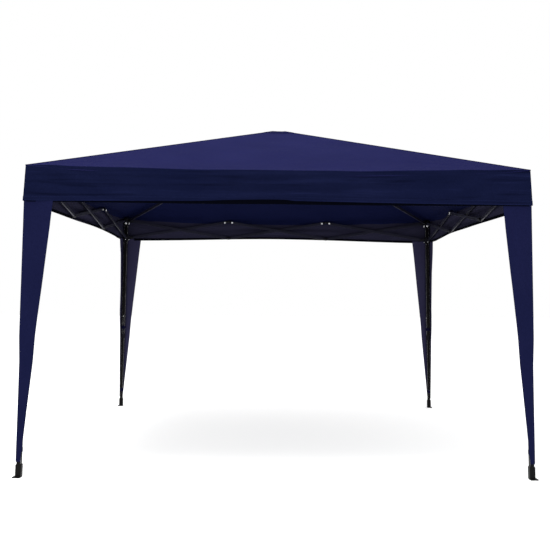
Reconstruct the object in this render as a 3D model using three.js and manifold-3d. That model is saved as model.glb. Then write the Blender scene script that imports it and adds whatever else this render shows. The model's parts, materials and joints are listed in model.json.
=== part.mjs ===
// Pop up gazebo, 3 m square: a folding steel frame with three scissor units on each side, four folding
// rafters to a central crown, telescopic legs, and a fabric roof, valance and four corner leg skirts.
// Millimetres, +Z up, origin on the ground at the centre. Corner 0 is front left (-X, -Y), and the frame
// repeats by quarter turns about Z: corner 1 is front right, 2 rear right and 3 rear left.
import * as THREE from "three";
import { mergeVertices } from "three/addons/utils/BufferGeometryUtils.js";
import Module from "manifold-3d";

const wasm = await Module();
wasm.setup();

// Overall
const LEG_AXIS = 1470; // from the centre to each leg's axis, along X and along Y
const GAP = 0.5; // between faces that slide or turn past each other
const CUT_PAST = 1; // how far a cutting box reaches past the face that it cuts
const QUARTER = Math.PI / 2;
const CORNERS = ["front_left", "front_right", "rear_right", "rear_left"];
const SIDES = ["front", "right", "rear", "left"];

// Fabric
const EAVES_Z = 1800;
const EAVES_HALF = 1500;
const PEAK_Z = 2340;
const PEAK_HALF = 50;
const ROOF_THICK = 3;
const HEM_Z = 1585;
const HEM_HALF = 1506;
const VALANCE_THICK = 3;
const SKIRT_THICK = 3;
const SKIRT_OUT = 1500; // the outer faces of a skirt
const SKIRT_TOP_WIDTH = 168;
const SKIRT_FOOT_WIDTH = 30;
const SKIRT_FOOT_Z = 130;
const LIP = 2; // overlap of two cutting solids, so that no skin is left between them

// Legs
const OUTER_SIDE = 30;
const OUTER_WALL = 1.8;
const OUTER_BOTTOM = 650;
const OUTER_TOP = 1786;
const INNER_SIDE = 25;
const INNER_WALL = 1.5;
const INNER_TOP = 1060;
const BUTTON_Z = 850;
const BUTTON_R = 4;
const BUTTON_PROUD = 3;
const COLLAR_WIDE = 2; // the button's collar past its pin, and its thickness
const NOSE = 1.5; // the chamfer at the button's tip
const EXTENSION = 160; // how far the inner leg slides down
const SLOT_WIDTH = 2 * BUTTON_R + 1;
const BOOT_SIDE = 33;
const BOOT_TOP = 72;
const PAD_THICK = 5;
const PAD_IN = 15;
const PAD_OUT = 30;

// Scissor trusses
const UNITS = 3;
const PIVOT_OFFSET = 45; // from a leg's axis to its truss pivots, along the side
const TOP_PIVOT_Z = 1768;
const OPEN_ANGLE = THREE.MathUtils.degToRad(9.6);
const UNIT_SPAN = (2 * (LEG_AXIS - PIVOT_OFFSET)) / UNITS;
const BAR_LENGTH = UNIT_SPAN / Math.cos(OPEN_ANGLE);
const BAR_WIDTH = 22;
const BAR_THICK = 10;
const LAYER = 6; // from a truss's plane to the middle of each layer of bars
const LOW_PIVOT_Z = TOP_PIVOT_Z - BAR_LENGTH * Math.sin(OPEN_ANGLE);

// Corner brackets, sliders and crown
const BLOCK_OUT = 21; // from a leg's axis to a block's two outer faces
const BLOCK_IN = 26; // and to its two inner faces
const BRACKET_BOTTOM = 1733;
const BRACKET_TOP = 1794;
const SLIDER_HALF = 28;
const SLEEVE = OUTER_SIDE / 2 + GAP;
const EAR_THICK = 4;
const EAR_HALF = 12;
const EAR_PAST = 12; // how far an ear reaches past its pivot
const RELIEF_DEPTH = 5.5;
const RELIEF_WIDTH = 14;
const EAR_ROOT = SLEEVE + RELIEF_DEPTH + 1; // where the ears along X and Y start, inside a block's wall
const DIAGONAL_ROOT = 24; // where a bracket's rafter ears start, along the diagonal
const CROWN_PIVOT_R = 60; // from the centre to the rafters' upper pivots
const CORNER_PIVOT_R = 60; // from a leg's axis to its rafter pivot, towards the centre
const RAFTER_LOW_Z = 1776;
const HIP_SLOPE = (PEAK_Z - EAVES_Z) / (EAVES_HALF - PEAK_HALF) / Math.SQRT2;
const RAFTER_RUN = LEG_AXIS * Math.SQRT2 - CROWN_PIVOT_R - CORNER_PIVOT_R;
const RAFTER_HIGH_Z = RAFTER_LOW_Z + RAFTER_RUN * HIP_SLOPE;
const RAFTER_ANGLE = Math.atan(HIP_SLOPE);
const UPPER_RAFTER = 747; // between pivots
const LOWER_RAFTER = RAFTER_RUN / Math.cos(RAFTER_ANGLE) - UPPER_RAFTER;
const CROWN_R = 42;
const CROWN_HALF = 14;
const CAP_TOP = 2334;

const steel = () =>
  new THREE.MeshStandardMaterial({ name: "steel", color: 0x2b2c30, roughness: 0.4, metalness: 0.7 });
const plastic = () =>
  new THREE.MeshStandardMaterial({ name: "plastic", color: 0x131316, roughness: 0.6, metalness: 0 });
const zinc = () =>
  new THREE.MeshStandardMaterial({ name: "zinc", color: 0xc9cbd0, roughness: 0.25, metalness: 1 });
const cloth = () =>
  new THREE.MeshStandardMaterial({ name: "cloth", color: 0x141445, roughness: 0.85, metalness: 0 });

const gazebo = new THREE.Group();
const corners = CORNERS.map((_, index) => {
  const group = new THREE.Group();
  group.rotation.z = index * QUARTER;
  gazebo.add(group);
  return group;
});

function addMesh(parent, name, geometry, material) {
  const mesh = new THREE.Mesh(geometry, material);
  mesh.name = name;
  parent.add(mesh);
  return mesh;
}

// A closed three.js geometry as a manifold-3d solid.
function solid(geometry) {
  const bare = geometry.clone();
  bare.deleteAttribute("normal");
  bare.deleteAttribute("uv");
  const merged = mergeVertices(bare, 1e-3);
  return new wasm.Manifold(
    new wasm.Mesh({
      numProp: 3,
      vertProperties: new Float32Array(merged.attributes.position.array),
      triVerts: new Uint32Array(merged.index.array),
    }),
  );
}

function geometryOf(manifold) {
  const made = manifold.getMesh();
  const geometry = new THREE.BufferGeometry();
  geometry.setAttribute("position", new THREE.BufferAttribute(new Float32Array(made.vertProperties), 3));
  geometry.setIndex(new THREE.BufferAttribute(new Uint32Array(made.triVerts), 1));
  geometry.computeVertexNormals();
  return geometry;
}

// A box given by its lowest and highest corners.
function boxBetween(low, high) {
  const size = high.map((value, axis) => value - low[axis]);
  const geometry = new THREE.BoxGeometry(...size);
  geometry.translate(...low.map((value, axis) => value + size[axis] / 2));
  return geometry;
}

function squareShape(side) {
  const half = side / 2;
  const shape = new THREE.Shape();
  shape.moveTo(-half, -half);
  shape.lineTo(half, -half);
  shape.lineTo(half, half);
  shape.lineTo(-half, half);
  shape.closePath();
  return shape;
}

// A square tube on a leg's axis.
function squareTube(side, wall, bottom, top) {
  const shape = squareShape(side);
  shape.holes.push(squareShape(side - 2 * wall));
  const geometry = new THREE.ExtrudeGeometry(shape, { depth: top - bottom, bevelEnabled: false });
  geometry.translate(-LEG_AXIS, -LEG_AXIS, bottom);
  return geometry;
}

// A flat bar with round ends, its pivots on the X axis at 0 and length, its thickness along Y.
function barGeometry(length) {
  const radius = BAR_WIDTH / 2;
  const shape = new THREE.Shape();
  shape.absarc(length, 0, radius, -QUARTER, QUARTER, false);
  shape.absarc(0, 0, radius, QUARTER, 3 * QUARTER, false);
  shape.closePath();
  const geometry = new THREE.ExtrudeGeometry(shape, {
    depth: BAR_THICK,
    bevelEnabled: false,
    curveSegments: 6,
  });
  geometry.translate(0, 0, -BAR_THICK / 2);
  geometry.rotateX(QUARTER);
  return geometry;
}

// A square frustum or prism standing on its base, with sides along X and Y.
function squareFrustum(topHalf, bottomHalf, bottom, top) {
  const geometry = new THREE.CylinderGeometry(
    topHalf * Math.SQRT2,
    bottomHalf * Math.SQRT2,
    top - bottom,
    4,
  );
  geometry.rotateY(QUARTER / 2);
  geometry.rotateX(QUARTER);
  geometry.translate(0, 0, (top + bottom) / 2);
  return geometry;
}

// The two ears of a clevis whose bar lies at offset (-1 or 1 layer) from the arm's middle plane.
function clevis(offset, inner, pivot, pivotZ) {
  const middle = offset * LAYER;
  const reach = BAR_THICK / 2 + GAP;
  const ears = [middle - reach - EAR_THICK, middle + reach].map((low) =>
    boxBetween([inner, low, pivotZ - EAR_HALF], [pivot + EAR_PAST, low + EAR_THICK, pivotZ + EAR_HALF]),
  );
  return ears.map(solid);
}

// Moves a clevis made along +X from the origin onto a leg's axis, turned by angle about Z.
function placeAtLeg(part, angle) {
  const degrees = THREE.MathUtils.radToDeg(angle);
  return part.rotate([0, 0, degrees]).translate([-LEG_AXIS, -LEG_AXIS, 0]);
}

function legBlock(bottom, top, holeTop) {
  const block = boxBetween(
    [-LEG_AXIS - BLOCK_OUT, -LEG_AXIS - BLOCK_OUT, bottom],
    [-LEG_AXIS + BLOCK_IN, -LEG_AXIS + BLOCK_IN, top],
  );
  const hole = boxBetween(
    [-LEG_AXIS - SLEEVE, -LEG_AXIS - SLEEVE, bottom - CUT_PAST],
    [-LEG_AXIS + SLEEVE, -LEG_AXIS + SLEEVE, holeTop],
  );
  return solid(block).subtract(solid(hole));
}

// Adds the ears for the two trusses that meet at a leg, along X and along Y.
function withTrussEars(block, offset, pivotZ) {
  let made = block;
  for (const angle of [0, QUARTER]) {
    for (const ear of clevis(offset, EAR_ROOT, PIVOT_OFFSET, pivotZ)) {
      made = made.add(placeAtLeg(ear, angle));
    }
  }
  return made;
}

function addTopBracket(corner, name) {
  const block = legBlock(BRACKET_BOTTOM, BRACKET_TOP, OUTER_TOP + GAP);
  let bracket = withTrussEars(block, -1, TOP_PIVOT_Z);
  for (const ear of clevis(1, DIAGONAL_ROOT, CORNER_PIVOT_R, RAFTER_LOW_Z)) {
    bracket = bracket.add(placeAtLeg(ear, QUARTER / 2));
  }
  addMesh(corner, `${name}_top_bracket`, geometryOf(bracket), plastic());
}

// A slider runs on the outer tube, and its relief passes over the snap button.
function addSlider(corner, name) {
  const bottom = LOW_PIVOT_Z - SLIDER_HALF;
  const top = LOW_PIVOT_Z + SLIDER_HALF;
  const slider = withTrussEars(legBlock(bottom, top, top + CUT_PAST), 1, LOW_PIVOT_Z);
  const relief = boxBetween(
    [-LEG_AXIS, -LEG_AXIS - RELIEF_WIDTH / 2, bottom - CUT_PAST],
    [-LEG_AXIS + SLEEVE + RELIEF_DEPTH, -LEG_AXIS + RELIEF_WIDTH / 2, top + CUT_PAST],
  );
  addMesh(corner, `${name}_slider`, geometryOf(slider.subtract(solid(relief))), plastic());
}

// A box that cuts the button's opening through a tube's inward face, from low to high.
function faceCutter(side, wall, low, high) {
  const face = -LEG_AXIS + side / 2;
  return solid(
    boxBetween(
      [face - wall - CUT_PAST, -LEG_AXIS - SLOT_WIDTH / 2, low - SLOT_WIDTH / 2],
      [face + CUT_PAST, -LEG_AXIS + SLOT_WIDTH / 2, high + SLOT_WIDTH / 2],
    ),
  );
}

function addUpperLeg(corner, name) {
  const tube = solid(squareTube(OUTER_SIDE, OUTER_WALL, OUTER_BOTTOM, OUTER_TOP));
  const slot = faceCutter(OUTER_SIDE, OUTER_WALL, BUTTON_Z - EXTENSION, BUTTON_Z);
  addMesh(corner, `${name}_upper_leg`, geometryOf(tube.subtract(slot)), steel());
}

function addLowerLeg(corner, name) {
  const tube = solid(squareTube(INNER_SIDE, INNER_WALL, PAD_THICK, INNER_TOP));
  const hole = faceCutter(INNER_SIDE, INNER_WALL, BUTTON_Z, BUTTON_Z);
  const half = BOOT_SIDE / 2;
  const boot = boxBetween(
    [-LEG_AXIS - half, -LEG_AXIS - half, PAD_THICK / 2],
    [-LEG_AXIS + half, -LEG_AXIS + half, BOOT_TOP],
  );
  const pad = boxBetween(
    [-LEG_AXIS - PAD_OUT, -LEG_AXIS - PAD_OUT, 0],
    [-LEG_AXIS + PAD_IN, -LEG_AXIS + PAD_IN, PAD_THICK],
  );
  const leg = tube.subtract(hole).add(solid(boot)).add(solid(pad));
  addMesh(corner, `${name}_lower_leg`, geometryOf(leg), steel());
}

// The sprung button: a round-nosed pin with a collar inside the inner tube.
function addSnapButton(corner, name) {
  const collarTop = INNER_SIDE / 2 - INNER_WALL - GAP;
  const tip = OUTER_SIDE / 2 + BUTTON_PROUD;
  const profile = [
    [0, collarTop - COLLAR_WIDE],
    [BUTTON_R + COLLAR_WIDE, collarTop - COLLAR_WIDE],
    [BUTTON_R + COLLAR_WIDE, collarTop],
    [BUTTON_R, collarTop],
    [BUTTON_R, tip - NOSE],
    [BUTTON_R - NOSE, tip],
    [0, tip],
  ];
  const points = profile.map(([radius, along]) => new THREE.Vector2(radius, along));
  const geometry = new THREE.LatheGeometry(points, 12);
  geometry.rotateZ(-QUARTER);
  geometry.translate(-LEG_AXIS, -LEG_AXIS, BUTTON_Z);
  addMesh(corner, `${name}_snap_button`, geometry, zinc());
}

// One side's bars. "down" bars fall from the start corner to the next and lie in the outer layer,
// "up" bars rise and lie in the inner layer.
function addTruss(corner, side) {
  const geometry = barGeometry(BAR_LENGTH);
  for (let unit = 0; unit < UNITS; unit += 1) {
    const startX = -LEG_AXIS + PIVOT_OFFSET + unit * UNIT_SPAN;
    const down = addMesh(corner, `${side}_bar_${unit + 1}_down`, geometry, steel());
    down.position.set(startX, -LEG_AXIS - LAYER, TOP_PIVOT_Z);
    down.rotation.y = OPEN_ANGLE;
    const up = addMesh(corner, `${side}_bar_${unit + 1}_up`, geometry, steel());
    up.position.set(startX, -LEG_AXIS + LAYER, LOW_PIVOT_Z);
    up.rotation.y = -OPEN_ANGLE;
  }
}

// A corner's rafter: an upper link from the crown to the knee and a lower link from the knee to the bracket.
function addRafter(corner, name) {
  const arm = new THREE.Group();
  arm.rotation.z = QUARTER / 2;
  arm.position.set(-LEG_AXIS, -LEG_AXIS, 0);
  corner.add(arm);
  const lower = addMesh(arm, `${name}_lower_rafter`, barGeometry(LOWER_RAFTER), steel());
  lower.position.set(CORNER_PIVOT_R, LAYER, RAFTER_LOW_Z);
  lower.rotation.y = -RAFTER_ANGLE;
  const upper = addMesh(arm, `${name}_upper_rafter`, barGeometry(UPPER_RAFTER), steel());
  upper.position.set(
    CORNER_PIVOT_R + LOWER_RAFTER * Math.cos(RAFTER_ANGLE),
    -LAYER,
    RAFTER_LOW_Z + LOWER_RAFTER * Math.sin(RAFTER_ANGLE),
  );
  upper.rotation.y = -RAFTER_ANGLE;
}

function addCrown() {
  const core = new THREE.CylinderGeometry(CROWN_R, CROWN_R, 2 * CROWN_HALF, 24);
  core.rotateX(QUARTER);
  core.translate(0, 0, RAFTER_HIGH_Z);
  let crown = solid(core);
  for (let arm = 0; arm < CORNERS.length; arm += 1) {
    const degrees = THREE.MathUtils.radToDeg(QUARTER / 2 + QUARTER * arm);
    clevis(1, CROWN_R / 2, CROWN_PIVOT_R, RAFTER_HIGH_Z).forEach((ear) => {
      crown = crown.add(ear.rotate([0, 0, degrees]));
    });
  }
  addMesh(gazebo, "crown_hub", geometryOf(crown), plastic());
  const base = RAFTER_HIGH_Z + CROWN_HALF + GAP;
  const profile = [
    [0, base],
    [CROWN_R, base],
    [CROWN_R, base + (CAP_TOP - base) / 3],
    [CROWN_R * 0.7, base + (CAP_TOP - base) * 0.8],
    [CROWN_R * 0.3, CAP_TOP],
    [0, CAP_TOP],
  ];
  const points = profile.map(([radius, along]) => new THREE.Vector2(radius, along));
  const cap = new THREE.LatheGeometry(points, 24);
  cap.rotateX(QUARTER);
  addMesh(gazebo, "crown_cap", cap, plastic());
}

function addCanopy() {
  const roof = squareFrustum(PEAK_HALF, EAVES_HALF, EAVES_Z, PEAK_Z);
  const under = roof.clone();
  under.translate(0, 0, -ROOF_THICK);
  addMesh(gazebo, "canopy_roof", geometryOf(solid(roof).subtract(solid(under))), cloth());
  const top = EAVES_Z - GAP;
  const band = squareFrustum(EAVES_HALF, HEM_HALF, HEM_Z, top);
  const inside = squareFrustum(EAVES_HALF - VALANCE_THICK, HEM_HALF - VALANCE_THICK, HEM_Z, top);
  inside.translate(0, 0, -CUT_PAST);
  const lid = squareFrustum(EAVES_HALF - VALANCE_THICK, EAVES_HALF - VALANCE_THICK, top - LIP, top + LIP);
  const valance = solid(band).subtract(solid(inside)).subtract(solid(lid));
  addMesh(gazebo, "valance", geometryOf(valance), cloth());
}

// A leg skirt: two tapering faces that meet over the leg's outer corner.
function addSkirt(corner, name) {
  const top = HEM_Z - GAP;
  const shape = new THREE.Shape();
  shape.moveTo(0, SKIRT_FOOT_Z);
  shape.lineTo(SKIRT_FOOT_WIDTH, SKIRT_FOOT_Z);
  shape.lineTo(SKIRT_TOP_WIDTH, top);
  shape.lineTo(0, top);
  shape.closePath();
  const face = new THREE.ExtrudeGeometry(shape, { depth: SKIRT_THICK, bevelEnabled: false });
  face.rotateX(QUARTER);
  face.translate(-SKIRT_OUT, -SKIRT_OUT + SKIRT_THICK, 0);
  const front = solid(face);
  const side = front.mirror([1, -1, 0]);
  addMesh(corner, `${name}_leg_skirt`, geometryOf(front.add(side)), cloth());
}

corners.forEach((corner, index) => {
  const name = CORNERS[index];
  addUpperLeg(corner, name);
  addLowerLeg(corner, name);
  addSnapButton(corner, name);
  addTopBracket(corner, name);
  addSlider(corner, name);
  addTruss(corner, SIDES[index]);
  addRafter(corner, name);
  addSkirt(corner, name);
});
addCrown();
addCanopy();

export default gazebo;
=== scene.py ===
"""The looks of a 3 m pop up gazebo: a navy polyester canopy with a valance and leg skirts, on a dark folding
steel frame. Metres, +Z up, the front of the gazebo towards -Y."""
import json
import math

import bmesh
import bpy
import numpy as np
from mathutils import Matrix, Vector, noise


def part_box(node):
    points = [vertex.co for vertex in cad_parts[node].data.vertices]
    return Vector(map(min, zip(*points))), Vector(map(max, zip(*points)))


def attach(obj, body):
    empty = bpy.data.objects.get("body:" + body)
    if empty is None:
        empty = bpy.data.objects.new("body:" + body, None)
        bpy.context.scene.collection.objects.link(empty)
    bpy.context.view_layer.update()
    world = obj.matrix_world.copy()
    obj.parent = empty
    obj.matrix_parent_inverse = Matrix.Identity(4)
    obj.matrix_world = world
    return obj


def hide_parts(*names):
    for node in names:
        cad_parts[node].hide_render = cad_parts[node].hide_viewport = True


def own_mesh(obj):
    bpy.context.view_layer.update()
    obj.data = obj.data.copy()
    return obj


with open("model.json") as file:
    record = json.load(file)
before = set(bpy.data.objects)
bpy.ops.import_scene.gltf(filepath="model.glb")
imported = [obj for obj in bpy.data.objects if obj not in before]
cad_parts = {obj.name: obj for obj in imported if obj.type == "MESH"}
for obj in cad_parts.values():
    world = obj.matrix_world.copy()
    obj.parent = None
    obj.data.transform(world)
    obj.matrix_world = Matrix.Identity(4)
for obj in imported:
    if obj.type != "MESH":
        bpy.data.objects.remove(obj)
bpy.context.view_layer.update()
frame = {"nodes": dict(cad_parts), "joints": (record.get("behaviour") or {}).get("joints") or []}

# ---------------------------------------------------------------- places, from the frame
CORNERS = ("front_left", "front_right", "rear_right", "rear_left")
SIDES = ("front", "right", "rear", "left")
joints = {joint["name"]: joint for joint in frame["joints"]}


def pivot(name):
    """A joint's place."""
    return Vector(joints[name]["pos_m"])


roof_low, roof_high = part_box("canopy_roof")
valance_low, valance_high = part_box("valance")
tube_low, tube_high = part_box("front_left_upper_leg")

HALF = roof_high.x
EAVES_Z = roof_low.z
PEAK_Z = roof_high.z
PEAK_HALF = 0.050  # the flat square on top of the roof
HEM_Z = valance_low.z
DROP = EAVES_Z - HEM_Z
HEM_FLARE = valance_high.x - HALF
LEG_AXIS = -(tube_low.x + tube_high.x) / 2
TUBE_HALF = (tube_high.x - tube_low.x) / 2
INNER_HALF = 0.0125
EDGE_HIGHLIGHT_FROM_Z = 0.074  # the legs' edges carry the painted highlight, patchy like wear, from here up, just above the boots
TOP_PIVOT = pivot("front_bar_1_down_hinge")
LOW_PIVOT = pivot("front_left_slider_hinge")
LAST_PIVOT = pivot("front_bar_3_up_hinge")
UNIT_SPAN = (LAST_PIVOT.x - TOP_PIVOT.x) / 3
BAR_LAYER = 0.006  # how far each of the two layers of truss bars lies from the middle of its side
rafter_line = pivot("frame_fold") - pivot("front_left_bracket_hinge")
RAFTER_ANGLE = math.atan2(rafter_line.z, rafter_line.to_2d().length)

# ---------------------------------------------------------------- the cloth's driving dimensions
CLOTH_THICK = 0.0015
BINDING_THICK = 0.0012
TAPE_THICK = 0.0010
TAPE_HALF_WIDE = 0.014
PANEL_SAG = 0.014
EAVES_DROOP = 0.026
EAVES_RADIUS = 0.060
CORNER_RADIUS = 0.008
HEM_BOW = {"front": 0.014, "right": 0.018, "rear": 0.026, "left": 0.020}
HEM_BAND = 0.028
SKIRT_TOP_WIDTH = 0.170
SKIRT_FOOT_WIDTH = 0.027
SKIRT_FOOT_Z = 0.088
TUCK = 0.012  # how far a skirt runs up inside the valance
SLEEVE_Z = 0.80  # the skirts hug the leg below this height and clear the slider above it


def corner_of(side, towards):
    """The number of the corner at the left (-1) or right (1) end of a side."""
    return side if towards < 0 else (side + 1) % 4


def hand(towards):
    """The word for an end of a side, seen from in front of that side."""
    return "left" if towards < 0 else "right"


def half_side(towards, steps, reach=1.0):
    """Places across half a side, from left to right, as shares of the half side."""
    across = [towards * c / steps * reach for c in range(steps + 1)]
    return across[::-1] if towards < 0 else across


def turned(point, quarters):
    """A point turned by quarter turns about Z, from the front left corner or the front side to another."""
    x, y, z = point
    for _ in range(quarters % 4):
        x, y = -y, x
    return Vector((x, y, z))


# ---------------------------------------------------------------- materials
class Nodes:
    """A short way to write a node tree."""

    def __init__(self, name):
        self.material = bpy.data.materials.new(name)
        self.material.use_nodes = True
        self.tree = self.material.node_tree
        self.shader = self.tree.nodes["Principled BSDF"]

    def add(self, kind, inputs=None, **settings):
        node = self.tree.nodes.new(kind)
        for key, value in settings.items():
            setattr(node, key, value)
        for key, value in (inputs or {}).items():
            self.put(node.inputs[key], value)
        return node

    def put(self, socket, value):
        if isinstance(value, bpy.types.NodeSocket):
            self.tree.links.new(value, socket)
        else:
            socket.default_value = value

    def maths(self, operation, a, b=0.0, c=0.0):
        node = self.add("ShaderNodeMath", operation=operation)
        for socket, value in zip(node.inputs, (a, b, c)):
            self.put(socket, value)
        return node.outputs[0]

    def noise(self, vector, scale, detail=3.0, roughness=0.5):
        inputs = {"Vector": vector, "Scale": scale, "Detail": detail, "Roughness": roughness}
        return self.add("ShaderNodeTexNoise", inputs).outputs["Fac"]

    def mix(self, factor, a, b):
        node = self.add("ShaderNodeMix", data_type="RGBA")
        for key, value in ((0, factor), (6, a), (7, b)):
            self.put(node.inputs[key], value)
        return node.outputs[2]

    def ramp(self, value, low, high):
        inputs = {"Value": value, "From Min": low, "From Max": high}
        return self.add("ShaderNodeMapRange", inputs).outputs[0]

    def bump(self, height, strength, distance, normal=None):
        inputs = {"Height": height, "Strength": strength, "Distance": distance}
        if normal is not None:
            inputs["Normal"] = normal
        return self.add("ShaderNodeBump", inputs).outputs[0]

    def set(self, **values):
        for key, value in values.items():
            self.put(self.shader.inputs[key.replace("_", " ")], value)
        return self.material


THREAD_PITCH = 0.0011
STITCH_PITCH = 0.0045
STITCH_HALF_WIDE = 0.0009


def scaled(colour, factor):
    """A darker or lighter colour, with its alpha."""
    return (*[c * factor for c in colour], 1)


def cloth_material(name, colour, worn, stitch_rows=(), folds=0.0):
    """Coated polyester: plain weave, faint mottling and creases, rows of stitches at heights of V, and level
    streaks of painted fold shade and painted highlight, as strong as folds."""
    n = Nodes(name)
    place = n.add("ShaderNodeTexCoord")
    uv = n.add("ShaderNodeSeparateXYZ", {"Vector": place.outputs["UV"]})
    along, across = uv.outputs[0], uv.outputs[1]
    mottle = n.ramp(n.noise(place.outputs["Object"], 3.2, 5.0), 0.3, 0.7)
    fine = n.ramp(n.noise(place.outputs["Object"], 60.0, 3.0), 0.35, 0.65)
    base = n.mix(n.maths("MULTIPLY", mottle, 0.85), (*colour, 1), (*worn, 1))
    base = n.mix(n.maths("MULTIPLY", fine, 0.22), base, scaled(colour, 0.72))
    # Level streaks: the dark ones are painted shade in the folds, and the light ones are a painted highlight
    # on them.
    stretch = n.add("ShaderNodeMapping", {"Vector": place.outputs["Object"], "Scale": (1.6, 1.6, 34.0)})
    painted_fold_streak = n.noise(stretch.outputs[0], 1.0, 4.0, 0.6)
    base = n.mix(n.maths("MULTIPLY", n.ramp(painted_fold_streak, 0.56, 0.72), folds), base, scaled(colour, 0.45))
    base = n.mix(n.maths("MULTIPLY", n.ramp(painted_fold_streak, 0.42, 0.30), folds), base, scaled(worn, 1.35))
    thread = 2 * math.pi / THREAD_PITCH
    warp = n.maths("SINE", n.maths("MULTIPLY", along, thread))
    weft = n.maths("SINE", n.maths("MULTIPLY", across, thread))
    weave = n.maths("MULTIPLY", warp, weft)
    crease = n.noise(place.outputs["Object"], 9.0, 6.0, 0.62)
    normal = n.bump(crease, 0.35, 0.010)
    normal = n.bump(weave, 0.25, 0.0003, normal)
    stitches = None
    for row in stitch_rows:
        off_row = n.maths("ABSOLUTE", n.maths("SUBTRACT", across, row))
        near = n.maths("LESS_THAN", off_row, STITCH_HALF_WIDE)
        dash = n.maths("LESS_THAN", n.maths("FRACT", n.maths("DIVIDE", along, STITCH_PITCH)), 0.68)
        mark = n.maths("MULTIPLY", near, dash)
        stitches = mark if stitches is None else n.maths("MAXIMUM", stitches, mark)
    if stitches is not None:
        base = n.mix(stitches, base, scaled(worn, 1.7))
        normal = n.bump(stitches, 0.6, 0.0008, normal)
    rough = n.maths("MULTIPLY_ADD", n.ramp(mottle, -0.6, 1.6), 0.14, 0.66)
    return n.set(Base_Color=base, Roughness=rough, Normal=normal, Specular_IOR_Level=0.004)


def metal_material(name, colour, metallic, rough, wear_and_highlight, shine=0.07, edge_radius=0.0022, edge_highlight_from=None):
    """Powder coat or plating: orange peel, dust in the mottling, and brighter edges, in patches like wear,
    as a painted highlight above the height edge_highlight_from."""
    n = Nodes(name)
    point = n.add("ShaderNodeTexCoord").outputs["Object"]
    peel = n.noise(point, 900.0, 2.0)
    mottle = n.ramp(n.noise(point, 14.0, 6.0), 0.35, 0.7)
    edge = n.add("ShaderNodeBevel", {"Radius": edge_radius}, samples=4)
    geometry = n.add("ShaderNodeNewGeometry")
    turn = n.add("ShaderNodeVectorMath", {0: edge.outputs[0], 1: geometry.outputs["True Normal"]},
                 operation="DOT_PRODUCT")
    rim = n.ramp(turn.outputs["Value"], 0.995, 0.90)
    # Edges take the colour wear_and_highlight in noisy patches: partly edge wear and partly a painted
    # highlight of the rounded edges.
    scuff_and_highlight = n.maths("MULTIPLY", rim, n.ramp(n.noise(point, 70.0, 5.0), 0.10, 0.60))
    if edge_highlight_from is not None:
        height = n.add("ShaderNodeSeparateXYZ", {"Vector": point}).outputs["Z"]
        scuff_and_highlight = n.maths("MULTIPLY", scuff_and_highlight, n.ramp(height, edge_highlight_from, edge_highlight_from + 0.004))
    base = n.mix(n.maths("MULTIPLY", mottle, 0.6), (*colour, 1), scaled(colour, 1.35))
    base = n.mix(scuff_and_highlight, base, (*wear_and_highlight, 1))
    roughness = n.maths("MULTIPLY_ADD", mottle, 0.16, rough)
    normal = n.bump(peel, 0.12, 0.0002, edge.outputs[0])
    return n.set(Base_Color=base, Metallic=metallic, Roughness=roughness, Normal=normal,
                 Specular_IOR_Level=shine)


def plastic_material(name, colour, rough):
    """Moulded nylon: fine grain, a haze of dust and softly rounded edges."""
    n = Nodes(name)
    point = n.add("ShaderNodeTexCoord").outputs["Object"]
    grain = n.noise(point, 1400.0, 2.0)
    haze = n.ramp(n.noise(point, 30.0, 5.0), 0.4, 0.75)
    edge = n.add("ShaderNodeBevel", {"Radius": 0.0020}, samples=4)
    base = n.mix(n.maths("MULTIPLY", haze, 0.5), (*colour, 1), scaled(colour, 1.9))
    roughness = n.maths("MULTIPLY_ADD", haze, 0.15, rough)
    normal = n.bump(grain, 0.25, 0.0003, edge.outputs[0])
    return n.set(Base_Color=base, Roughness=roughness, Normal=normal, Specular_IOR_Level=0.08)


NAVY = (0.0060, 0.0066, 0.0338)
NAVY_WORN = (0.0082, 0.0088, 0.0405)
roof_cloth = cloth_material("roof_cloth", NAVY, NAVY_WORN, (0.006, 0.012))
# The valance's colour is the roof's navy darkened: painted shade for a hanging side that the light reaches
# less.
valance_cloth = cloth_material("valance_cloth", (0.0036, 0.0052, 0.0215), (0.0050, 0.0068, 0.0262),
                               (0.004, HEM_BAND - 0.003), 0.7)
# The skirts' colour is the roof's navy a little darkened: painted shade on the same cloth.
skirt_cloth = cloth_material("skirt_cloth", (0.0056, 0.0068, 0.0295), (0.0073, 0.0086, 0.0350), (0.006,))
tape_cloth = cloth_material("tape_cloth", (0.0036, 0.0040, 0.0225), (0.0050, 0.0055, 0.0270), (0.004, 0.024))
# The inner faces of the valance and skirts are the cloth made lighter and greyer than its outside: painted
# light on the insides.
valance_inside_painted_light = cloth_material("valance_inside_painted_light", (0.0185, 0.0178, 0.0360),
                                (0.0215, 0.0205, 0.0410), (0.004,))
skirt_inside_painted_light = cloth_material("skirt_inside_painted_light", (0.0270, 0.0255, 0.0600),
                              (0.0330, 0.0310, 0.0700), (0.006,))
# The roof's inner face is the navy cloth darkened: painted shade under the roof.
under_cloth_painted_shade = cloth_material("under_cloth_painted_shade", (0.0032, 0.0044, 0.0215),
                             (0.0042, 0.0056, 0.0260), (0.006, 0.012))
LEG_COAT = (0.0026, 0.0025, 0.0031)
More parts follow.
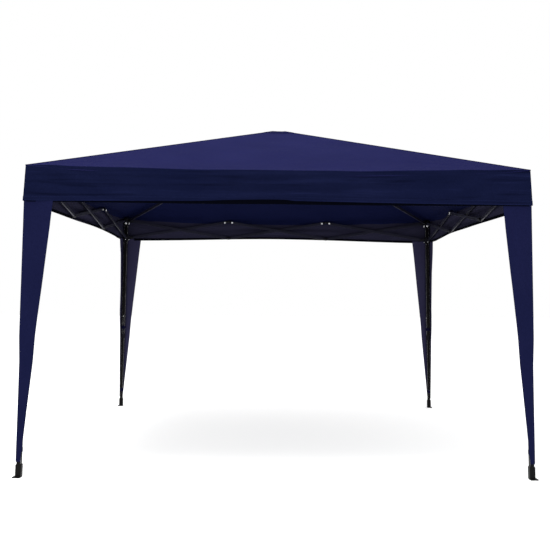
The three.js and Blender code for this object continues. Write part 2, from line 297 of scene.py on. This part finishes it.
# LEG_EDGE_HIGHLIGHT is a bright grey on the legs' edges: a painted highlight of the rounded corners catching
# light.
LEG_EDGE_HIGHLIGHT = (0.520, 0.520, 0.550)
leg_steel = metal_material("leg_steel", LEG_COAT, 0.0, 0.38, LEG_EDGE_HIGHLIGHT, edge_radius=0.003)
lower_steel = metal_material("lower_steel", LEG_COAT, 0.0, 0.38, LEG_EDGE_HIGHLIGHT, edge_radius=0.003,
                             edge_highlight_from=EDGE_HIGHLIGHT_FROM_Z)
dark_steel = metal_material("dark_steel", (0.0105, 0.0105, 0.0200), 0.0, 0.38, (0.0240, 0.0240, 0.0340))
zinc = metal_material("zinc", (0.74, 0.75, 0.77), 0.35, 0.30, (0.85, 0.85, 0.86), 0.5)
black_plastic = plastic_material("black_plastic", (0.0055, 0.0055, 0.0085), 0.48)
binding = cloth_material("binding", (0.0008, 0.0010, 0.0026), (0.0012, 0.0014, 0.0034))


# ---------------------------------------------------------------- mesh helpers
def new_piece(name, vertices, faces, materials, smooth_angle):
    """A piece from points and faces, sharp where faces meet at more than smooth_angle degrees."""
    mesh = bpy.data.meshes.new(name)
    mesh.from_pydata([tuple(v) for v in vertices], [], faces)
    for material in materials:
        mesh.materials.append(material)
    mesh.update()
    piece = bpy.data.objects.new(name, mesh)
    bpy.context.scene.collection.objects.link(piece)
    mesh.shade_smooth()
    mesh.set_sharp_from_angle(angle=math.radians(smooth_angle))
    return piece


def sheet_mesh(name, rows, uvs, material, thick=CLOTH_THICK, inside=None):
    """A closed thin shell from a grid of points. Its outer face is on the grid, and inside is the material of
    its other face."""
    count, width = len(rows), len(rows[0])
    grid = np.array([[tuple(p) for p in row] for row in rows], float)
    down = np.gradient(grid, axis=0)
    over = np.gradient(grid, axis=1)
    normal = np.cross(down, over)
    normal /= np.maximum(np.linalg.norm(normal, axis=2, keepdims=True), 1e-12)
    points = np.concatenate([grid.reshape(-1, 3), (grid - normal * thick).reshape(-1, 3)])
    total = count * width
    faces = []
    for r in range(count - 1):
        for c in range(width - 1):
            a, b = r * width + c, r * width + c + 1
            d, e = a + width, b + width
            faces.append((a, d, e, b))
            faces.append((a + total, b + total, e + total, d + total))
    rim = [r * width for r in range(count)]
    rim += [(count - 1) * width + c for c in range(1, width)]
    rim += [r * width + width - 1 for r in range(count - 2, -1, -1)]
    rim += list(range(width - 2, 0, -1))
    for a, b in zip(rim, rim[1:] + rim[:1]):
        faces.append((b, a, a + total, b + total))
    piece = new_piece(name, points, faces, [material, inside or material], 40)
    for face in piece.data.polygons:
        face.material_index = 1 if min(face.vertices) >= total else 0
    flat = [uv for row in uvs for uv in row] * 2
    layer = piece.data.uv_layers.new(name="UVMap")
    for loop in piece.data.loops:
        layer.data[loop.index].uv = flat[loop.vertex_index]
    return piece


def smooth_step(value):
    """A soft step from 0 to 1."""
    value = min(1.0, max(0.0, value))
    return value * value * (3 - 2 * value)


# ---------------------------------------------------------------- the roof
ROLL_TURN = math.radians(80)


def roll_radius(t):
    """The cloth turns over the eaves softly in the middle of a side and tightly at the corners."""
    return EAVES_RADIUS - (EAVES_RADIUS - CORNER_RADIUS) * abs(t) ** 6


def roll_start(t):
    """The share of the way down a panel at which the cloth starts to turn over the eaves."""
    return 1 - roll_radius(t) / HALF


def roof_point(s, t, side):
    """A point of one side's roof panel. s runs from the peak (0) to the eaves (1), t from -1 to 1 across,
    hip to hip. The last stretch rolls over the eaves into the valance."""
    radius = roll_radius(t)
    start = roll_start(t)
    reach = HALF * min(s, start)
    slope = (PEAK_Z - EAVES_Z) / (HALF - PEAK_HALF)
    z = PEAK_Z - 0.002 - slope * max(0.0, reach - PEAK_HALF)
    belly = math.sin(math.pi * min(1.0, s)) * (1 - t * t)
    z -= PANEL_SAG * belly + EAVES_DROOP * (1 - t * t) * smooth_step((s - 0.45) / 0.5)
    crumple = noise.noise(Vector((t * s * 5.2 + side * 7.0, s * 6.5, 1.3)))
    fan = math.sin(t * 19 + side) * math.exp(-((1 - abs(t)) * 9)) * s
    near_corner = smooth_step((s - 0.55) / 0.4) * smooth_step((abs(t) - 0.55) / 0.4)
    pull = math.sin((s * 1.7 - abs(t)) * 34) * near_corner
    edge = 1 - abs(t) ** 6
    z += edge * (0.0055 * crumple + 0.003 * fan + 0.0032 * pull)
    y = -reach
    if s > start:
        turn = (s - start) / (1 - start) * ROLL_TURN
        y -= radius * math.sin(turn)
        z -= radius * (1 - math.cos(turn)) * 0.9
    x = t * min(HALF, max(reach, -y))
    return Vector((x, max(-HALF, y), z))


KNEE_SHARE = abs(pivot("front_left_knee_hinge").x) / HALF
FIRST_SHARE = 0.004  # the panels start just off the peak, where they would come to a point
ROOF_STEPS = 36
UV_SLOPE = 1.07  # a panel's length down its slope for each metre across the plan


def split_share(t):
    """Where the cloth parts over the knees: a line square to the hip, as a share of the way down."""
    return 2 * KNEE_SHARE / (1 + abs(t))


def roof_piece(side, towards, outer):
    """Half a side's panel, from its middle to a hip, on one rafter of that hip's corner."""
    corner = corner_of(side, towards)
    across = half_side(towards, ROOF_STEPS)
    rows, uvs = [], []
    count, roll = (26, 8) if outer else (30, 0)
    for r in range(count + roll + 1):
        row, uv_row = [], []
        for t in across:
            near = split_share(t) if outer else FIRST_SHARE
            far = roll_start(t) if outer else split_share(t)
            s = near + (far - near) * r / count if r <= count else far + (1 - far) * (r - count) / roll
            row.append(turned(roof_point(s, t, side), side))
            uv_row.append((t * s * HALF, (1 - s) * HALF * UV_SLOPE))
        rows.append(row)
        uvs.append(uv_row)
    part = "lower" if outer else "upper"
    piece = sheet_mesh(f"roof_{SIDES[side]}_{hand(towards)}_{part}", rows, uvs, roof_cloth,
                       inside=under_cloth_painted_shade)
    rafter = f"{CORNERS[corner]}_{part}_rafter"
    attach(piece, rafter)
    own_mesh(piece)
    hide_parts("canopy_roof")


for side in range(4):
    for towards in (-1, 1):
        for outer in (False, True):
            roof_piece(side, towards, outer)


# ---------------------------------------------------------------- the valance
VALANCE_STEPS = 60
INSET = 0.0018  # the valance's top lies this far inside the roof's edge
BAND_PROUD = 0.0010


def hem_rise(t, side):
    """How far the hem bows up from its corners: most near the middle, and further back on the two sides."""
    lean = {"right": 0.35, "left": -0.35}.get(SIDES[side], 0.0)
    share = (t - lean) / (1 - lean) if t > lean else (lean - t) / (1 + lean)
    return HEM_BOW[SIDES[side]] * (1 - smooth_step(share) ** (0.6 if SIDES[side] == "front" else 1.0))


def valance_point(down, t, side, proud=0.0):
    """A point of a side's valance, moved out by proud. down runs from the eaves (0) to the hem (1)."""
    top = roof_point(1.0, t, side)
    z_top = top.z + 0.5 * roll_radius(t)
    z_hem = HEM_Z + hem_rise(t, side)
    z = z_top + (z_hem - z_top) * down
    calm = 1 - abs(t) ** 10
    ripple = noise.noise(Vector((t * 2.3 + side * 5.1, down * 2.6, 4.0)))
    middle = math.sin(down * 17 + 1.1 * math.sin(t * 4 + side)) * math.exp(-((t / 0.42) ** 2))
    slant = math.sin((abs(t) * 13 + down * 5.0) * 2.2) * smooth_step((abs(t) - 0.62) / 0.2)
    sway = math.sin(t * 9.0 + side * 1.7) * down
    waves = 0.0080 * ripple + 0.0050 * middle + 0.0036 * slant + 0.0036 * sway
    depth = waves * calm * smooth_step(down * 4)
    calm_out = HALF - INSET + HEM_FLARE * down + proud
    return Vector((t * calm_out, -(calm_out + depth), z))


def hang_on_leg(piece, corner):
    """Half a side's cloth rides on the leg at its end, and gathers beside it as the frame folds."""
    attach(piece, f"{CORNERS[corner]}_leg")
    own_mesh(piece)


def valance_piece(side, towards):
    """Half a side's valance, on the leg at its end."""
    corner = corner_of(side, towards)
    across = half_side(towards, VALANCE_STEPS)
    seam = 1 - HEM_BAND / DROP
    ridge = 0.004
    down = [seam * r / 22 for r in range(22)] + [seam - ridge, seam, seam + ridge]
    down += [seam + ridge + (1 - seam - ridge) * r / 4 for r in range(1, 5)]
    rows, uvs = [], []
    for d in down:
        proud = BAND_PROUD if d > seam else 0.0
        rows.append([turned(valance_point(d, t, side, proud), side) for t in across])
        uvs.append([(t * HALF, (1 - d) * DROP) for t in across])
    piece = sheet_mesh(f"valance_{SIDES[side]}_{hand(towards)}", rows, uvs, valance_cloth,
                       inside=valance_inside_painted_light)
    hang_on_leg(piece, corner)
    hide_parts("valance")


BINDING_REACH = 0.988  # it stops this share of the way to the corners, clear of its neighbour
BINDING_SEWN = 0.016  # how far it runs up inside the valance
BINDING_HANGS = 0.005
BINDING_ROWS = 4


def binding_point(share, t, side):
    """A point of a side's hem binding. share runs from its top (0) to its lower edge (1)."""
    top = valance_point(1 - BINDING_SEWN / DROP, t, side)
    # On the front the near-black binding hangs up to 16 mm lower in the middle: a painted shadow under the
    # front hem.
    front_painted_shadow = 0.016 * (1 - smooth_step(abs(t))) if side == 0 else 0.0
    z_low = HEM_Z + hem_rise(t, side) - (BINDING_HANGS + front_painted_shadow)
    inward = (CLOTH_THICK + 0.0006) / (HALF + HEM_FLARE)
    return Vector((top.x * (1 - inward), top.y * (1 - inward), z_low + (1 - share) * (top.z - z_low)))


def hem_binding(side, towards):
    """Dark webbing sewn inside the hem, hanging a little below it, and on the front further below the middle
    as a painted shadow under the hem.
    """
    corner = corner_of(side, towards)
    across = half_side(towards, VALANCE_STEPS, BINDING_REACH)
    shares = [r / BINDING_ROWS for r in range(BINDING_ROWS + 1)]
    rows = [[turned(binding_point(share, t, side), side) for t in across] for share in shares]
    uvs = [[(t * HALF, (1 - share) * 0.020) for t in across] for share in shares]
    place = f"{SIDES[side]}_{hand(towards)}"
    piece = sheet_mesh(f"hem_binding_{place}", rows, uvs, binding, BINDING_THICK)
    hang_on_leg(piece, corner)
    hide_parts("valance")


for make in (valance_piece, hem_binding):
    for side in range(4):
        for towards in (-1, 1):
            make(side, towards)


# ---------------------------------------------------------------- the leg skirts
SKIRT_FACES = ((SKIRT_FOOT_Z, 0.0162), (0.65, 0.0192), (SLEEVE_Z, 0.0245), (HEM_Z, 0.0295), (EAVES_Z, 0.0295))
NEAR_HEM_Z = 1.56  # above this height the cloth has the valance close outside it
SKIRT_ROWS = 90
SKIRT_STEPS = 14


def skirt_face(z):
    """How far the skirt's outer face stands off the leg's axis at a height."""
    heights, offsets = zip(*SKIRT_FACES)
    return float(np.interp(z, heights, offsets))


def skirt_share(z):
    """A height as a share of the way up from the skirt's foot to the hem."""
    return (z - SKIRT_FOOT_Z) / (HEM_Z - SKIRT_FOOT_Z)


def skirt_width(z):
    """The width of each of a skirt's two faces at a height."""
    share = skirt_share(z)
    return SKIRT_FOOT_WIDTH + (SKIRT_TOP_WIDTH - SKIRT_FOOT_WIDTH) * (0.92 * share + 0.08 * share * share)


def skirt_point(z, along, corner):
    """A point of a leg's skirt. along runs from one free edge (-1) round the leg (0) to the other (1)."""
    width = skirt_width(z)
    share = skirt_share(z)
    side = 1 if along > 0 else -1
    reach = abs(along)
    free = smooth_step((reach * width - 0.040) / 0.10) * smooth_step(share * 1.6)
    calm = smooth_step((HEM_Z + 0.02 - z) / 0.25)
    wave = math.sin(z * 7.5 + side * 1.3 + corner * 2.1) * 0.0050
    curl = -0.0060 * reach * reach
    crease = noise.noise(Vector((reach * 1.4 + side * 3 + corner * 9, z * 5.5, 2.0))) * 0.0030
    offset = (wave + curl) * free * calm + crease * smooth_step(reach * width / 0.05) * (0.3 + 0.7 * share)
    most_inward = -0.006 if z < NEAR_HEM_Z else -0.002
    offset = max(most_inward, offset)
    corner_at = -(LEG_AXIS + skirt_face(z))
    if along > 0:
        return Vector((corner_at + reach * width, corner_at - offset, z))
    return Vector((corner_at - offset, corner_at + reach * width, z))


def skirt_piece(corner):
    """A leg's cloth, folded round the outside of the leg, from inside the valance down to the boot."""
    name = CORNERS[corner]
    top = HEM_Z + TUCK
    heights = [top + (SKIRT_FOOT_Z - top) * r / SKIRT_ROWS for r in range(SKIRT_ROWS + 1)]
    across = [c / SKIRT_STEPS for c in range(-SKIRT_STEPS, SKIRT_STEPS + 1)]
    rows = [[turned(skirt_point(z, a, corner), corner) for a in across] for z in heights]
    uvs = [[((1 - abs(a)) * skirt_width(z), z) for a in across] for z in heights]
    piece = sheet_mesh(f"{name}_skirt_cloth", rows, uvs, skirt_cloth, inside=skirt_inside_painted_light)
    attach(piece, f"{name}_leg")
    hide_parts(f"{name}_leg_skirt")


for corner in range(4):
    skirt_piece(corner)


# ---------------------------------------------------------------- tapes over the hips and a patch on the peak
PATCH_SHARE = 0.078  # how far the patch reaches down the panels
PATCH_RINGS = 12
PATCH_STEPS = 16  # to a side


def hip_tape(corner, outer):
    """The bound seam along a hip: a strip folded over the two panels that meet there."""
    name = CORNERS[corner]
    side = corner
    before = (corner - 1) % 4
    start, end = (KNEE_SHARE, 1.0) if outer else (0.030, KNEE_SHARE)
    shares = [start + (end - start) * r / 40 for r in range(41)]
    if outer:
        last = roll_start(1.0)
        shares = [s for s in shares if s < last - 0.002] + [last + (1 - last) * r / 6 for r in range(7)]
    lift = turned((-0.0004, -0.0004, 0.0), corner) + Vector((0, 0, 0.0016))
    rows, uvs = [], []
    for s in shares:
        reach = s * HALF
        row, uv_row = [], []
        for offset in (-TAPE_HALF_WIDE, -0.010, -0.005, 0.0, 0.005, 0.010, TAPE_HALF_WIDE):
            share = 1 - abs(offset) / reach
            panel, t = (before, share) if offset < 0 else (side, -share)
            row.append(turned(roof_point(s, t, panel), panel) + lift)
            uv_row.append((reach * math.sqrt(2), offset + TAPE_HALF_WIDE))
        rows.append(row)
        uvs.append(uv_row)
    part = "lower" if outer else "upper"
    piece = sheet_mesh(f"{name}_hip_tape_{part}", rows, uvs, tape_cloth, TAPE_THICK)
    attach(piece, f"{name}_{part}_rafter")
    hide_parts("canopy_roof")


def peak_patch():
    """The doubled square of cloth over the crown."""
    first = FIRST_SHARE * 0.5
    lift = Vector((0, 0, 0.0030))
    around = 0.88  # about the length of the patch's rim
    steps = 4 * PATCH_STEPS
    rows, uvs = [], []
    for ring in range(PATCH_RINGS + 1):
        s = first + (PATCH_SHARE - first) * ring / PATCH_RINGS
        row, uv_row = [], []
        for step in range(steps + 1):
            side = step // PATCH_STEPS % 4
            t = step % PATCH_STEPS / (PATCH_STEPS / 2) - 1
            row.append(turned(roof_point(s, t, side), side) + lift)
            uv_row.append((step / steps * around, (PATCH_SHARE - s) * HALF))
        rows.append(row)
        uvs.append(uv_row)
    piece = sheet_mesh("peak_patch", rows, uvs, tape_cloth, BINDING_THICK)
    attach(piece, "crown")
    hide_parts("canopy_roof")


for corner in range(4):
    for outer in (False, True):
        hip_tape(corner, outer)
peak_patch()


# ---------------------------------------------------------------- rivets, bolts, end sleeves and straps
class Shells:
    """Closed shells gathered into one mesh."""

    def __init__(self):
        self.vertices, self.faces, self.kinds = [], [], []

    def add(self, rings, kind=0):
        """Rings of points, closed by a face at each end."""
        start, count = len(self.vertices), len(rings[0])
        for ring in rings:
            self.vertices += [Vector(p) for p in ring]
        faces = [tuple(start + c for c in range(count))[::-1]]
        for r in range(len(rings) - 1):
            for c in range(count):
                a, b = start + r * count + c, start + r * count + (c + 1) % count
                faces.append((a, b, b + count, a + count))
        last = start + (len(rings) - 1) * count
        faces.append(tuple(last + c for c in range(count)))
        self.faces += faces
        self.kinds += [kind] * len(faces)

    def head(self, place, normal, radius, height, kind=0, sides=16, stem=0.001):
        """A domed head standing on a face, with a short stem in it."""
        normal = Vector(normal).normalized()
        u = normal.orthogonal().normalized()
        v = normal.cross(u)
        angles = [2 * math.pi * c / sides for c in range(sides)]
        dome = ((0.0, 1.0), (0.45, 0.96), (0.8, 0.74), (1.0, 0.38), (1.02, 0.1))
        rings = []
        for lift, share in ((-stem, 1.0), *((level * height, share) for level, share in dome)):
            centre = Vector(place) + normal * lift
            rings.append([centre + (u * math.cos(a) + v * math.sin(a)) * radius * share for a in angles])
        self.add(rings, kind)

    def sleeve(self, place, along, across, up, before, after, half_wide, half_thick, kind=0):
        """A rounded cap over a flat bar's end. across is the bar's thin way."""
        angles = [math.pi / 2 + math.pi * c / 12 for c in range(13)]
        outline = [(before * math.cos(angle), half_wide * math.sin(angle)) for angle in angles]
        outline += [(after, -half_wide), (after, half_wide)]
        soft = 0.0012
        rings = []
        for level, inset in ((-1, soft), (-0.86, 0.0), (0.86, 0.0), (1, soft)):
            ring = []
            for a, w in outline:
                a = a - inset * (1 if a > 0 else -1)
                w = w - inset * (1 if w > 0 else -1)
                ring.append(Vector(place) + along * a + up * w + across * (level * half_thick))
            rings.append(ring)
        self.add(rings, kind)

    def piece(self, name, body, materials, slot):
        """The shells as one piece on a body. Each shell's kind is the number of its material."""
        made = new_piece(name, self.vertices, self.faces, materials, 35)
        for face, kind in zip(made.data.polygons, self.kinds):
            face.material_index = kind
        bm = bmesh.new()
        bm.from_mesh(made.data)
        bmesh.ops.recalc_face_normals(bm, faces=bm.faces)
        bm.to_mesh(made.data)
        bm.free()
        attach(made, body)


BAR_HALF_THICK = 0.005  # the truss bars and the rafters
BAR_HALF_WIDE = 0.011
RIVET_FROM_PIVOT = 0.036
SLEEVE_BACK = 0.0125  # how far an end sleeve reaches past the pivot
SLEEVE_ALONG = 0.024  # and along the bar
SLEEVE_WIDER = 0.0009
SLEEVE_THICKER = 0.0005
PLASTIC, BRIGHT, DARK = 0, 1, 2  # the fittings' materials
BRIGHT_RIVET = (0.0080, 0.0038, BRIGHT)  # radius, height and material
DARK_RIVET = (0.0050, 0.0024, DARK)


def bar_hardware(side, unit, direction):
    """The plastic end sleeves, zinc rivets and pivot heads of one truss bar."""
    left = TOP_PIVOT.x + UNIT_SPAN * (unit - 1)
    falls = direction == "down"
    layer = -BAR_LAYER if falls else BAR_LAYER
    start = Vector((left, -LEG_AXIS + layer, TOP_PIVOT.z if falls else LOW_PIVOT.z))
    end = Vector((left + UNIT_SPAN, -LEG_AXIS + layer, LOW_PIVOT.z if falls else TOP_PIVOT.z))
    start, end = turned(start, side), turned(end, side)
    out = turned((0, -1, 0), side)
    along = (end - start).normalized()
    up = out.cross(along).normalized()
    shells = Shells()
    for place, way, unit_at_leg in ((start, along, 1), (end, -along, 3)):
        shells.sleeve(place, way, out, up, SLEEVE_BACK, SLEEVE_ALONG, BAR_HALF_WIDE + SLEEVE_WIDER,
                      BAR_HALF_THICK + SLEEVE_THICKER, PLASTIC)
        upper = place.z > TOP_PIVOT.z - 0.01
        radius, height, kind = BRIGHT_RIVET if upper and unit != unit_at_leg else DARK_RIVET
        for face in (1, -1):
            at = place + way * RIVET_FROM_PIVOT + out * face * BAR_HALF_THICK
            shells.head(at, out * face, radius, height, kind)
    outward = out * (1 if falls else -1)
    proud = outward * (BAR_HALF_THICK + SLEEVE_THICKER)
    high, low = (start, end) if falls else (end, start)
    shells.head(high + proud, outward, 0.0060, 0.0022, DARK)
    shells.head(low + proud, outward, 0.0045, 0.0022, DARK)
    shells.head((start + end) / 2 + outward * BAR_HALF_THICK, outward, 0.0060, 0.0024, DARK)
    name = f"{SIDES[side]}_bar_{unit}_{direction}"
    shells.piece(f"{name}_fittings", name, [black_plastic, zinc, dark_steel], "black_plastic")


for side in range(4):
    for unit in (1, 2, 3):
        for direction in ("down", "up"):
            bar_hardware(side, unit, direction)


def soft_square(centre, half, radius, z, corner_steps=7):
    """The outline of a square with round corners."""
    points = []
    for quarter, sign in enumerate(((1, 1), (-1, 1), (-1, -1), (1, -1))):
        for step in range(corner_steps):
            angle = math.pi / 2 * (quarter + step / (corner_steps - 1))
            x = (half - radius) * sign[0] + radius * math.cos(angle)
            y = (half - radius) * sign[1] + radius * math.sin(angle)
            points.append(Vector((centre[0] + x, centre[1] + y, z)))
    return points


def square_ring(shells, centre, inner, outer, low, high):
    """A closed square sleeve round a tube, with soft corners."""
    start = len(shells.vertices)
    sections = ((inner, 0.0015, low), (outer, 0.0035, low), (outer, 0.0035, high), (inner, 0.0015, high))
    rings = [soft_square(centre, *section) for section in sections]
    count = len(rings[0])
    for ring in rings:
        shells.vertices += ring
    for r in range(len(rings)):
        this, following = start + r * count, start + (r + 1) % len(rings) * count
        for c in range(count):
            after = (c + 1) % count
            shells.faces.append((this + c, this + after, following + after, following + c))
            shells.kinds.append(0)


COLLAR = (0.642, 0.682)  # the lowest and highest points of a ring on the leg
UPPER_STRAP = (0.730, 0.755)
FOOT_STRAP = (0.140, 0.165)
BRACKET_FACE = 0.026  # how far the brackets' and sliders' inner faces are from the leg's axis
BOLT_Z = 1.745
PIN_Z = LOW_PIVOT.z - 0.0190


def leg_hardware(corner):
    """The tube collar, bracket bolts, slider lock pins and the straps that hold a leg's skirt."""
    name = CORNERS[corner]
    axis = turned((-LEG_AXIS, -LEG_AXIS, 0), corner)
    inward = (turned((1, 0, 0), corner), turned((0, 1, 0), corner))
    collar = Shells()
    square_ring(collar, axis, TUBE_HALF + 0.0001, TUBE_HALF + 0.0022, *COLLAR)
    collar.piece(f"{name}_tube_collar", f"{name}_leg", [black_plastic], "black_plastic")
    straps = Shells()
    square_ring(straps, axis, TUBE_HALF + 0.0004, TUBE_HALF + 0.0018, *UPPER_STRAP)
    square_ring(straps, axis, INNER_HALF + 0.0006, INNER_HALF + 0.0020, *FOOT_STRAP)
    straps.piece(f"{name}_skirt_straps", f"{name}_leg", [tape_cloth], "valance_cloth")
    bolts = Shells()
    pins = Shells()
    for way in inward:
        face = axis + way * BRACKET_FACE
        bolts.head(face + Vector((0, 0, BOLT_Z)), way, 0.0110, 0.0060)
        pins.head(face + Vector((0, 0, PIN_Z)), way, 0.0040, 0.0060)
    bolts.piece(f"{name}_bracket_bolts", f"{name}_leg", [zinc], "zinc")
    pins.piece(f"{name}_slider_pins", f"{name}_slider", [zinc], "zinc")


for corner in range(4):
    leg_hardware(corner)


def rafter_hardware(corner):
    """Pivot heads and rivets of the two rafter links over a corner."""
    name = CORNERS[corner]
    along_plan = turned((-1, -1, 0), corner).normalized()
    tangent = turned((1, -1, 0), corner).normalized()
    crown = pivot("frame_fold") if corner == 0 else pivot(f"{name}_crown_hinge")
    knee = pivot(f"{name}_knee_hinge")
    bracket = pivot(f"{name}_bracket_hinge")
    level = along_plan * math.cos(RAFTER_ANGLE)
    fall = Vector((level.x, level.y, -math.sin(RAFTER_ANGLE)))
    for part, high, low in (("upper", crown, knee), ("lower", knee, bracket)):
        low_box, high_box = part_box(f"{name}_{part}_rafter")
        centre = (low_box + high_box) / 2
        layer = tangent * (centre - (high + low) / 2).dot(tangent)
        outward = tangent * (1 if layer.dot(tangent) > 0 else -1)
        shells = Shells()
        for place, way in ((high + layer, fall), (low + layer, -fall)):
            shells.head(place + outward * BAR_HALF_THICK, outward, 0.0060, 0.0024)
            for face in (tangent, -tangent):
                shells.head(place + way * RIVET_FROM_PIVOT + face * BAR_HALF_THICK, face, 0.0050, 0.0024)
        shells.piece(f"{name}_{part}_rafter_heads", f"{name}_{part}_rafter", [dark_steel, zinc], "zinc")


for corner in range(4):
    rafter_hardware(corner)


# ---------------------------------------------------------------- finishes of the frame's own pieces
for node_name, node in frame["nodes"].items():
    if node_name.endswith("lower_leg"):
        finish = lower_steel
    elif node_name.endswith("upper_leg"):
        finish = leg_steel
    elif "bar" in node_name or "rafter" in node_name:
        finish = dark_steel
    elif "snap_button" in node_name:
        finish = zinc
    elif "roof" in node_name or "skirt" in node_name or "valance" in node_name:
        finish = roof_cloth
    else:
        finish = black_plastic
    node.data.materials.clear()
    node.data.materials.append(finish)


# ---------------------------------------------------------------- floor, light and camera
FLOOR_HALF = 40.0
FLOOR_GAP = 0.0005  # the floor lies this far below the boots


def floor():
    """A plain white floor, lit a little from within so that it runs into the white behind it."""
    half = FLOOR_HALF
    corners = [(-half, -half, 0), (half, -half, 0), (half, half, 0), (-half, half, 0)]
    mesh = bpy.data.meshes.new("floor")
    mesh.from_pydata(corners, [], [(0, 1, 2, 3)])
    material = Nodes("floor").set(Base_Color=(0.70, 0.70, 0.70, 1), Roughness=0.9,
                                  Emission_Color=(1, 1, 1, 1), Emission_Strength=0.52)
    mesh.materials.append(material)
    plane = bpy.data.objects.new("floor", mesh)
    bpy.context.scene.collection.objects.link(plane)
    plane.location.z = -FLOOR_GAP


def white_surroundings():
    """An even white studio."""
    world = bpy.data.worlds.new("studio")
    world.use_nodes = True
    background = world.node_tree.nodes["Background"]
    background.inputs["Color"].default_value = (1, 1, 1, 1)
    background.inputs["Strength"].default_value = 1.0
    bpy.context.scene.world = world
    bpy.context.scene.view_settings.view_transform = "Standard"


def soft_light(name, place, aim, size, power):
    """A square area light that faces a point."""
    lamp = bpy.data.lights.new(name, "AREA")
    lamp.size = size
    lamp.energy = power
    light = bpy.data.objects.new(name, lamp)
    light.location = place
    light.rotation_euler = (Vector(aim) - Vector(place)).to_track_quat("-Z", "Y").to_euler()
    bpy.context.scene.collection.objects.link(light)


CAMERA_PLACE = (-0.0246, -5.9798, 1.0181)
CAMERA_YAW = math.radians(0.8252)
CAMERA_PITCH = math.radians(5.9476)
CAMERA_ROLL = math.radians(0.4587)
CAMERA_LENS = 50.0445
CAMERA_SHIFT = (-0.0192, -0.1)


def photo_camera():
    """A camera in front of the gazebo, a little below half its height, looking slightly up."""
    yaw, pitch, roll = CAMERA_YAW, CAMERA_PITCH, CAMERA_ROLL
    forward = Vector((math.sin(yaw) * math.cos(pitch), math.cos(yaw) * math.cos(pitch), math.sin(pitch)))
    right = Vector((math.cos(yaw), -math.sin(yaw), 0))
    up = right.cross(forward)
    x = right * math.cos(roll) + up * math.sin(roll)
    y = up * math.cos(roll) - right * math.sin(roll)
    turn = Matrix((x, y, -forward)).transposed().to_4x4()
    lens = bpy.data.cameras.new("camera")
    lens.lens = CAMERA_LENS
    lens.sensor_width = 36.0
    lens.shift_x, lens.shift_y = CAMERA_SHIFT
    lens.clip_end = 200
    camera = bpy.data.objects.new("camera", lens)
    camera.matrix_world = Matrix.Translation(CAMERA_PLACE) @ turn
    bpy.context.scene.collection.objects.link(camera)
    bpy.context.scene.camera = camera


floor()
white_surroundings()
soft_light("overhead", (-1.2, -1.8, 7.5), (0, 0, 1.0), 4.5, 800)
soft_light("front", (0.5, -8.0, 3.0), (0, 0, 1.2), 4.0, 60)
photo_camera()
